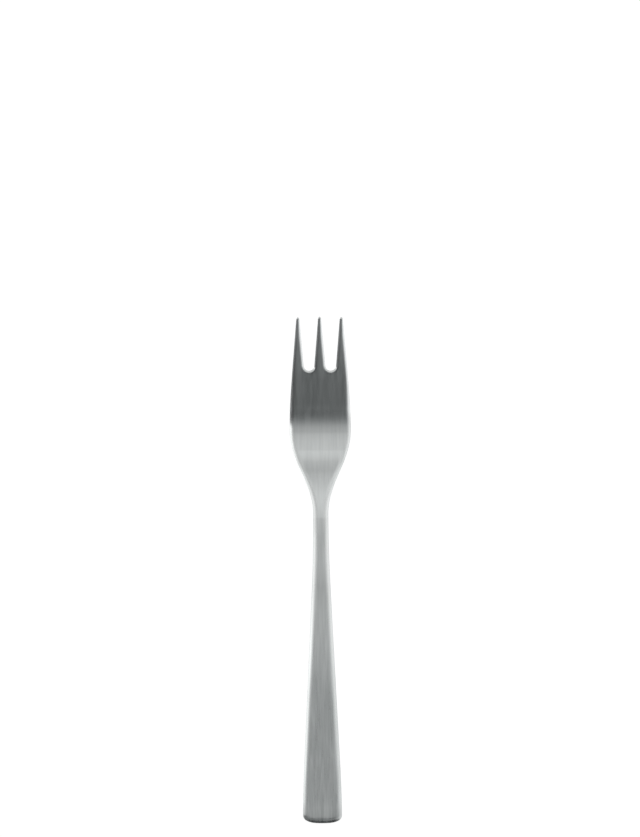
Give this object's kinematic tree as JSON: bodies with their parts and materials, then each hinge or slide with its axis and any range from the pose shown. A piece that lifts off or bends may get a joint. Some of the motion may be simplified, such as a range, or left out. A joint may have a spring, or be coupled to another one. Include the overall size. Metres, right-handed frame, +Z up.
{
  "type": "dessert fork",
  "caption": "One-piece dessert fork with slim tapering tines, a smoothly curved head, a narrow arched neck and a flat handle that widens to a rounded end.",
  "frame": {"origin": "middle of the fork's outline in plan, on the table that it lies on", "axes": "+Y along the fork towards the tips, +Z up out of the table, +X to the right seen from above"},
  "size_m": [0.0218, 0.18, 0.0147],
  "materials": {
    "steel": "satin, finely brushed along the fork"
  },
  "bodies": {
    "root": {"handle": "steel", "neck": "steel", "head": "steel", "left_tine": "steel", "middle_tine": "steel", "right_tine": "steel"}
  },
  "joints": []
}
